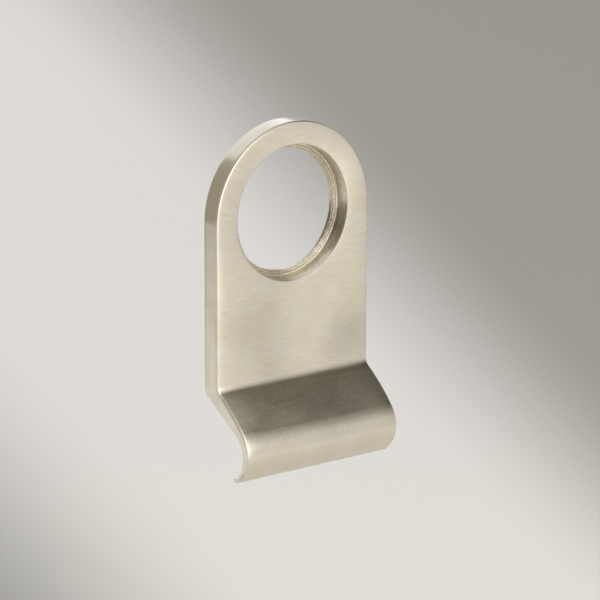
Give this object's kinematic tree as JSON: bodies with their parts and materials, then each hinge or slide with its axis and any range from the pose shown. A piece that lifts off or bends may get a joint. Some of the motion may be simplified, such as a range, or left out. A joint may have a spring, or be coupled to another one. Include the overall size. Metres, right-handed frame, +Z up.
{
  "type": "cylinder pull handle",
  "caption": "Door pull that rings the head of a rim lock cylinder: a flat arched plate with a stepped bore, whose foot turns out into an apron and a curled finger grip.",
  "frame": {"origin": "on the axis of the bore, in the flat back face that bears on the door", "axes": "+Z up along the door with the arched top uppermost, -Y out of the door towards the person pulling it, +X to that person's right"},
  "size_m": [0.045, 0.0173, 0.0837],
  "materials": {
    "satin_nickel": "cast brass with a satin nickel plating, brushed across"
  },
  "bodies": {
    "root": {"cylinder_pull": "satin_nickel"}
  },
  "joints": []
}
